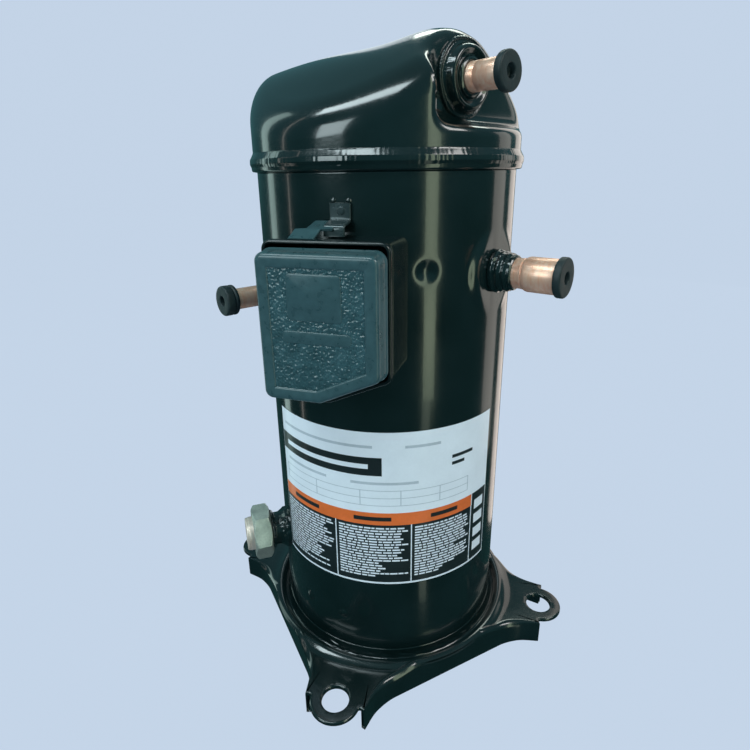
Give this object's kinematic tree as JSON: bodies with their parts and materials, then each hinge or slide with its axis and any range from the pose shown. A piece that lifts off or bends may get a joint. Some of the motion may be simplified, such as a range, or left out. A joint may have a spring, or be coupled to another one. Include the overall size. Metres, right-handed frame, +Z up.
{
  "type": "scroll compressor",
  "caption": "Upright hermetic scroll compressor: black shell on a square footed plate, domed cap, side terminal box, copper stubs with plugs, and its working inside.",
  "frame": {"origin": "centre of the four mounting holes, in the plane of the feet's underside", "axes": "+Z up along the shaft, -Y towards the terminal box; the mounting holes lie on the X and Y axes"},
  "size_m": [0.3064, 0.3064, 0.456],
  "materials": {
    "black_enamel": "gloss",
    "copper": "satin",
    "pale_copper": "satin",
    "box_plastic": "satin",
    "foam": "matte",
    "steel": "satin",
    "strap_steel": "satin",
    "terminal_glass": "gloss",
    "label": "satin",
    "lamination": "satin",
    "winding_copper": "satin",
    "cast_iron": "machined",
    "bronze": "machined",
    "pressed_steel": "satin",
    "machined_steel": "machined",
    "cast_aluminium": "cast",
    "magnet": "matte",
    "rubber": "matte",
    "zinc_steel": "satin"
  },
  "bodies": {
    "housing": {"base_plate": "black_enamel", "lower_cap": "black_enamel", "shell_body": "black_enamel", "partition_plate": "black_enamel", "top_cap": "black_enamel", "discharge_fitting": "black_enamel", "discharge_stub": "copper", "suction_collar": "black_enamel", "suction_stub": "copper", "injection_collar": "black_enamel", "injection_stub": "copper", "oil_fitting_boss": "black_enamel", "terminal_box_base": "box_plastic", "terminal_gasket": "foam", "terminal_body": "steel", "terminal_glass": "terminal_glass", "terminal_pins": "steel", "cover_strap": "strap_steel", "nameplate": "label", "stator_core": "lamination", "windings": "winding_copper", "main_bearing_housing": "cast_iron", "main_bearing_bush": "bronze", "lower_bearing_bracket": "pressed_steel", "lower_bearing_bush": "bronze", "scroll_bolts": "steel", "scroll_sleeves": "steel", "suction_baffle": "pressed_steel", "oil_magnet": "magnet", "motor_protector": "box_plastic"},
    "crank": {"crankshaft": "machined_steel", "rotor_core": "lamination", "rotor_end_rings": "cast_aluminium", "upper_counterweight": "cast_iron", "lower_counterweight": "cast_iron", "oil_pickup": "pressed_steel", "drive_bushing": "machined_steel"},
    "orbiter": {"orbiting_scroll": "cast_iron", "orbiting_bearing": "bronze"},
    "oldham": {"oldham_ring": "cast_aluminium"},
    "fixed_scroll": {"non_orbiting_scroll": "cast_iron", "valve_retainer": "machined_steel"},
    "valve": {"discharge_valve": "machined_steel"},
    "seal": {"floating_seal": "cast_aluminium"},
    "cover": {"terminal_cover": "box_plastic"},
    "discharge_cap": {"discharge_plug": "rubber"},
    "suction_cap": {"suction_plug": "rubber"},
    "injection_cap": {"injection_plug": "rubber"},
    "blank": {"blanking_cap": "pale_copper"},
    "nut": {"rotalock_nut": "zinc_steel"}
  },
  "joints": [
    {"name": "crank_spin", "type": "hinge", "parent": "housing", "child": "crank", "pos_m": [0, 0, 0.2], "axis": [0, 0, 1], "continuous": true},
    {"name": "scroll_orbit", "type": "hinge", "parent": "crank", "child": "orbiter", "pos_m": [0.00395, 0, 0.29], "axis": [0, 0, 1], "continuous": true},
    {"name": "oldham_shift", "type": "hinge", "parent": "crank", "child": "oldham", "pos_m": [0.00395, 0, 0.29], "axis": [0, 0, 1], "continuous": true},
    {"name": "scroll_lift", "type": "slide", "parent": "housing", "child": "fixed_scroll", "axis": [0, 0, 1], "range_m": [0, 0.0005]},
    {"name": "valve_lift", "type": "slide", "parent": "fixed_scroll", "child": "valve", "axis": [0, 0, 1], "range_m": [0, 0.0015]},
    {"name": "seal_lift", "type": "slide", "parent": "fixed_scroll", "child": "seal", "axis": [0, 0, 1], "range_m": [0, 0.0004]},
    {"name": "cover_off", "type": "slide", "parent": "housing", "child": "cover", "axis": [0, -1, 0], "range_m": [0, 0.06]},
    {"name": "discharge_plug_pull", "type": "slide", "parent": "housing", "child": "discharge_cap", "axis": [0.866, -0.5, 0], "range_m": [0, 0.06]},
    {"name": "suction_plug_pull", "type": "slide", "parent": "housing", "child": "suction_cap", "axis": [0.9336, -0.3584, 0], "range_m": [0, 0.06]},
    {"name": "injection_plug_pull", "type": "slide", "parent": "housing", "child": "injection_cap", "axis": [-0.5299, -0.848, 0], "range_m": [0, 0.06]},
    {"name": "blank_travel", "type": "slide", "parent": "housing", "child": "blank", "axis": [-0.809, -0.5878, 0], "range_m": [0, 0.0105]},
    {"name": "nut_turn", "type": "hinge", "parent": "blank", "child": "nut", "pos_m": [-0.09061, -0.06583, 0.0755], "axis": [-0.809, -0.5878, 0], "range_deg": [-20, 1810]}
  ],
  "couplings": [
    {"joint": "scroll_orbit", "follows": "crank_spin", "ratio": -1},
    {"joint": "oldham_shift", "follows": "crank_spin", "ratio": -1},
    {"joint": "nut_turn", "follows": "blank_travel", "rad_per_m": 2968.4}
  ]
}
